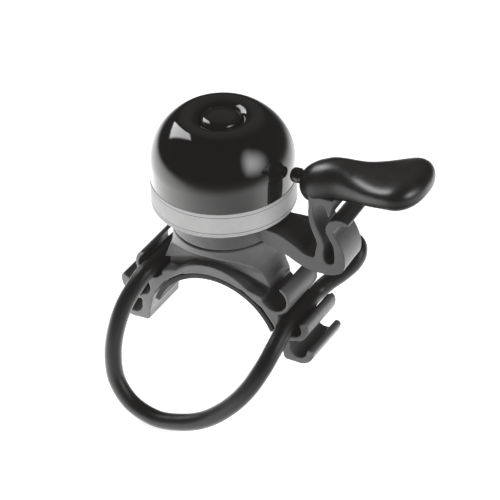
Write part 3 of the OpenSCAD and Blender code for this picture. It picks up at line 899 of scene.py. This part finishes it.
# What the bell sees: a bright sheet that runs far off to the left and ends soon in front.
# Degrees from the front towards the right, mm where the light halves, brightness
SHEET = [
    (-180, 205, 2.1), (-155, 225, 2.4), (-130, 300, 2.7), (-110, 520, 3.1), (-90, 600, 3.4),
    (-70, 540, 3.6), (-50, 430, 3.5), (-30, 275, 3.3), (-10, 178, 3.0), (10, 152, 2.8),
    (30, 146, 2.6), (50, 150, 2.7), (70, 170, 2.9), (90, 200, 3.4), (110, 240, 3.2),
    (135, 300, 3.0), (155, 310, 2.9), (180, 205, 2.1)]


def stage_plane(name, verts):
    mesh = bpy.data.meshes.new(name)
    mesh.from_pydata(verts, [], [[0, 1, 2, 3]])
    layer = mesh.uv_layers.new(name="uv")
    for i, corner in enumerate(((0, 0), (1, 0), (1, 1), (0, 1))):
        layer.data[i].uv = corner
    ob = link(name, mesh)
    return ob


def curve_around(m, turn, points, top):
    """Curve over a whole turn (0 to 1) through (bearing, value), for values up to top."""
    node = m.node("FloatCurve")
    curve = node.mapping.curves[0]
    for i, (bearing, value) in enumerate(points):
        place = ((bearing + 180) / 360, value / top)
        if i < 2:
            curve.points[i].location = place
        else:
            curve.points.new(*place)
    node.mapping.update()
    m.put(node.inputs["Value"], turn)
    return m.times(node.outputs["Value"], top)


def floor_material():
    """White to the camera, and the sheet of light to everything else."""
    m = Mat("studio_floor")
    x, y, _ = m.separate(m.position)

    def blot(centre, size):
        u, v = (m.math("DIVIDE", m.math("SUBTRACT", q, c), s)
                for q, c, s in zip((x, y), centre, size))
        return m.math("EXPONENT", m.times(m.add(m.times(u, u), m.times(v, v)), -1.0))

    turn = m.ramp(m.math("ARCTAN2", x, m.times(y, -1.0)), low=-math.pi, high=math.pi)
    reach = curve_around(m, turn, [(a, r) for a, r, _ in SHEET], top=700.0)
    level = curve_around(m, turn, [(a, e) for a, _, e in SHEET], top=4.0)
    falloff, ambient = 3.1, 0.10
    fall = m.math("POWER", m.math("DIVIDE", m.length(x, y), reach), falloff)
    sheet = m.add(m.math("DIVIDE", level, m.add(fall, 1.0)), ambient)
    # the bell's own shadow falls to the right of it; the left side gets the light back
    shadow = m.times(blot(centre=(60.0, -30.0), size=(44.0, 50.0)), 0.68)
    bounce = m.times(blot(centre=(-45.0, -30.0), size=(45.0, 55.0)), 0.35)
    shade = m.add(m.math("SUBTRACT", 1.0, shadow), bounce)
    seen_by_bell = m.node("Emission", {"Color": (1.0, 0.992, 0.985),
                                       "Strength": m.times(sheet, shade)})
    glow = m.node("Emission", {"Color": (1, 1, 1), "Strength": 0.88})
    diffuse = m.node("BsdfDiffuse", {"Color": (0.6, 0.6, 0.6)})
    white = m.node("AddShader", {0: glow.outputs[0], 1: diffuse.outputs[0]})
    m.show(m.mix_shader(m.camera_ray(), seen_by_bell.outputs[0], white.outputs[0]))
    return m.material


floor = stage_plane("studio_floor", [(x * FLOOR_HALF, y * FLOOR_HALF, FLOOR)
                                     for x, y in ((-1, -1), (1, -1), (1, 1), (-1, 1))])
floor.data.materials.append(floor_material())


# ---------------------------------------------------------------- lights and world

def direction(bearing, elevation):
    """Unit vector at degrees from the front (-Y) towards the right (+X), and degrees up."""
    a, e = math.radians(bearing), math.radians(elevation)
    return Vector((math.sin(a) * math.cos(e), -math.cos(a) * math.cos(e), math.sin(e)))


def softbox(name, corners, radiance, fades, power):
    """A glowing sheet through four (bearing, elevation) corners, hidden from the camera.

    Corners run lower left, lower right, upper right, upper left, facing the bell from outside.
    fades are the parts of its half width over which it fades out at its left, right, bottom
    and top; power rounds the corners (2 is a disc).
    """
    middle, distance = Vector((0, 0, 0.045)), 0.95
    ob = stage_plane(name, [middle + direction(*c) * distance for c in corners])
    m = Mat(name)
    across, up, _ = m.separate(m.coordinate("UV"))

    def edge_distance(place, low, high):
        """0 in the sheet's even part, and 1 at its edge."""
        place = m.math("SUBTRACT", m.times(place, 2.0), 1.0)
        sides = [m.math("DIVIDE", m.math("MAXIMUM", m.math("SUBTRACT", q, 1.0 - fade), 0.0), fade)
                 for q, fade in ((m.times(place, -1.0), low), (place, high))]
        return m.math("MAXIMUM", *sides)

    a, b = edge_distance(across, *fades[:2]), edge_distance(up, *fades[2:])
    total = m.add(m.math("POWER", a, power), m.math("POWER", b, power))
    strength = m.ramp(m.math("POWER", total, 1.0 / power), low=0.0, high=1.0, to=(1.0, 0.0),
                      kind="SMOOTHSTEP")
    clear = m.node("BsdfTransparent")
    glow = m.node("Emission", {"Strength": radiance})
    m.show(m.mix_shader(strength, clear.outputs[0], glow.outputs[0]))
    ob.data.materials.append(m.material)
    ob.visible_camera = False
    ob.visible_shadow = False


def build_world():
    """White to the camera; a dim warm room to the bell, with a glow high up behind it."""
    world = bpy.data.worlds.new("studio")
    scene.world = world
    g = Graph(world, "OutputWorld")
    toward = g.node("VectorMath", {0: g.coordinate("Generated"), 1: direction(-158, 52)},
                    operation="DOT_PRODUCT").outputs["Value"]
    glow = g.ramp(toward, low=0.72, high=1.0, to=(0.03, 0.2), kind="SMOOTHSTEP")
    room = g.node("Background", {"Color": (1.0, 0.95, 0.93), "Strength": glow})
    white = g.node("Background", {"Color": (1, 1, 1), "Strength": 1.0})
    g.show(g.mix_shader(g.camera_ray(), room.outputs[0], white.outputs[0]))


softbox("softbox_left", corners=[(-115, 17), (-88, 18), (-62, 53), (-96, 54)],
        radiance=8.3, fades=(0.12, 0.38, 0.22, 0.2), power=8.0)
softbox("softbox_right", corners=[(59, -5), (115, -5), (115, 52), (59, 52)],
        radiance=7.0, fades=(1.0, 1.0, 1.0, 1.0), power=2.0)
build_world()

view = scene.view_settings
view.view_transform = "Standard"
view.look = "None"
view.exposure = 0.0
view.gamma = 1.0
# haze in the lens: black never gets quite black, and it's a little warm
view.use_curve_mapping = True
view.curve_mapping.black_level = (-0.0122, -0.0112, -0.0106)
view.curve_mapping.update()


# ---------------------------------------------------------------- camera

BEARING, ELEVATION, ROLL = 30.827, 35.076, -2.374            # degrees
SHIFT_RIGHT, SHIFT_DOWN, DISTANCE = 5.785, 11.916, 612.114   # mm from the rim's centre


def build_camera():
    back = direction(BEARING, ELEVATION)
    level_right = Vector((0, 0, 1)).cross(back).normalized()
    level_up = back.cross(level_right)
    c, s = math.cos(math.radians(ROLL)), math.sin(math.radians(ROLL))
    right, up = level_right * c + level_up * s, level_up * c - level_right * s
    place = ((right * SHIFT_RIGHT - up * SHIFT_DOWN + back * DISTANCE) * MM
             + Vector((0, 0, RIM * MM)))
    camera = bpy.data.objects.new("camera", bpy.data.cameras.new("camera"))
    scene.collection.objects.link(camera)
    camera.data.sensor_width = 36.0
    camera.data.lens = 195.297048
    camera.data.clip_start, camera.data.clip_end = 0.01, 50.0
    rows = [(right[i], up[i], back[i], place[i]) for i in range(3)]
    camera.matrix_world = Matrix((*rows, (0, 0, 0, 1)))
    scene.camera = camera


build_camera()
